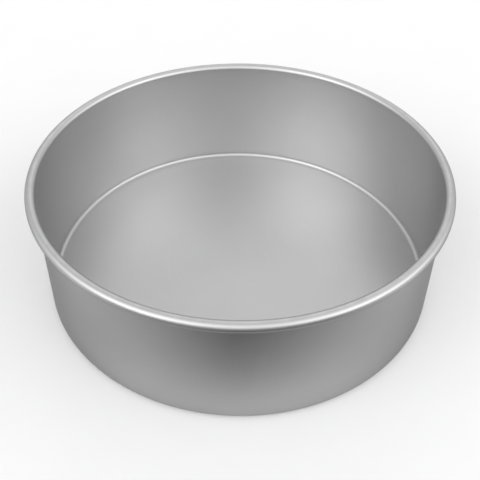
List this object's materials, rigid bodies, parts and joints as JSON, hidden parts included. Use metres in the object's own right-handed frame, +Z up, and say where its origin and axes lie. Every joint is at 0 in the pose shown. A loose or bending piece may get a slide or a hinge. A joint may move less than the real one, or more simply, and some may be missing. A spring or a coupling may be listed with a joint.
{
  "type": "round cake tin",
  "caption": "Deep round cake tin with straight sides, a flat base and a wired rolled rim, drawn from sheet aluminium.",
  "frame": {"origin": "middle of the underside of the base, on the surface that the tin stands on", "axes": "+Z up out of the open top, along the tin's axis; X and Y level, with nothing to tell them apart"},
  "size_m": [0.2402, 0.2402, 0.0762],
  "materials": {
    "tin_body": "satin silver anodised, with faint spinning grain",
    "rim_wire": "plain drawn wire"
  },
  "bodies": {
    "root": {"tin_body": "tin_body", "rim_wire": "rim_wire"}
  },
  "joints": []
}
